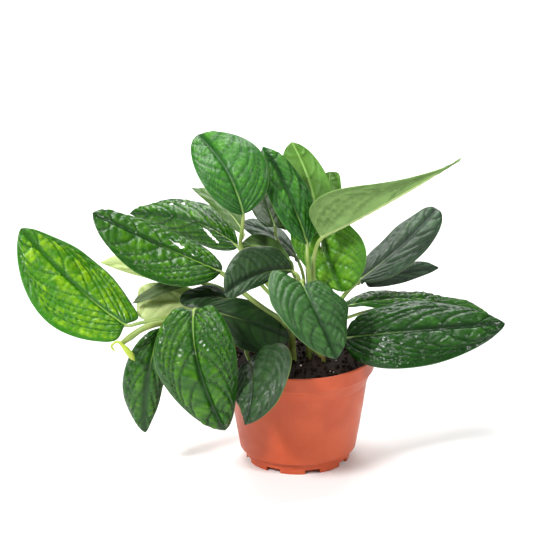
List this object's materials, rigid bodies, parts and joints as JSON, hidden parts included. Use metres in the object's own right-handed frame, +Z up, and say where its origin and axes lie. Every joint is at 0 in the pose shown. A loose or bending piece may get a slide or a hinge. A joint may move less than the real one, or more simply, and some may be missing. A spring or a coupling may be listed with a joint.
{
  "type": "potted monstera",
  "caption": "Young climbing monstera with quilted, uncut leaves on green stems, standing in a small terracotta-coloured plastic nursery pot of soil.",
  "frame": {"origin": "centre of the pot's base, on the surface it stands on", "axes": "+Z up along the pot's axis; -Y towards the front of the plant, +X to its right seen from the front"},
  "size_m": [0.3816, 0.1874, 0.2571],
  "materials": {
    "pot_plastic": "satin moulded polypropylene, terracotta orange",
    "potting_soil": "loose near-black peat with a few pale specks",
    "main_stem": "smooth green stem",
    "leaf_stalk": "smooth olive-green stalk",
    "dark_leaf": "glossy deep green, quilted between the veins",
    "mid_leaf": "satin mid green, closely quilted",
    "dull_leaf": "satin grey-green, quilted between the veins",
    "fresh_leaf": "bright green with yellow-green between the veins",
    "light_leaf": "matte light green underside with a pale mid-rib",
    "pale_leaf": "matte cream-green",
    "young_shoot": "bright yellow-green, still rolled"
  },
  "bodies": {
    "root": {"pot": "pot_plastic", "potting_soil": "potting_soil", "stem_centre": "main_stem", "stem_right": "main_stem", "stem_right_low": "main_stem", "stem_left_vine": "main_stem", "root_aerial": "main_stem", "petiole_far_left": "leaf_stalk", "petiole_front_left": "leaf_stalk", "petiole_shaded": "leaf_stalk", "petiole_upper_left": "leaf_stalk", "petiole_upper_left_rear": "leaf_stalk", "petiole_top": "leaf_stalk", "petiole_centre_heart": "leaf_stalk", "petiole_centre_left": "leaf_stalk", "petiole_behind_top": "leaf_stalk", "petiole_grey_rear": "leaf_stalk", "petiole_centre_rear": "leaf_stalk", "petiole_rear_blunt": "leaf_stalk", "petiole_right_long": "leaf_stalk", "petiole_centre_folded": "leaf_stalk", "petiole_centre_right": "leaf_stalk", "petiole_right_upper": "leaf_stalk", "petiole_right_low": "leaf_stalk", "petiole_right_rear": "leaf_stalk", "petiole_right_rear_low": "leaf_stalk", "petiole_low_centre": "leaf_stalk", "petiole_pale_upper": "leaf_stalk", "petiole_pale_lower": "leaf_stalk", "petiole_edge_on": "leaf_stalk", "leaf_far_left": "fresh_leaf", "leaf_upper_left": "dark_leaf", "leaf_upper_left_rear": "dark_leaf", "leaf_top": "mid_leaf", "leaf_top_side": "light_leaf", "leaf_centre_folded": "dark_leaf", "leaf_centre_rear": "light_leaf", "leaf_rear_blunt": "light_leaf", "leaf_right_long": "light_leaf", "leaf_centre_right": "mid_leaf", "leaf_right_upper": "dull_leaf", "leaf_right_under": "dull_leaf", "leaf_right_low": "dark_leaf", "leaf_right_rear": "dark_leaf", "leaf_right_rear_low": "dark_leaf", "leaf_centre_heart": "mid_leaf", "leaf_centre_left": "dull_leaf", "leaf_centre_left_rear": "mid_leaf", "leaf_front_left": "dark_leaf", "leaf_low_left": "dark_leaf", "leaf_under_centre": "dull_leaf", "leaf_low_centre": "dull_leaf", "leaf_shaded": "dull_leaf", "leaf_pale_upper": "pale_leaf", "leaf_pale_lower": "pale_leaf", "leaf_edge_on": "dull_leaf", "leaf_behind_top": "mid_leaf", "leaf_grey_rear": "dull_leaf", "new_shoot": "young_shoot"}
  },
  "joints": []
}
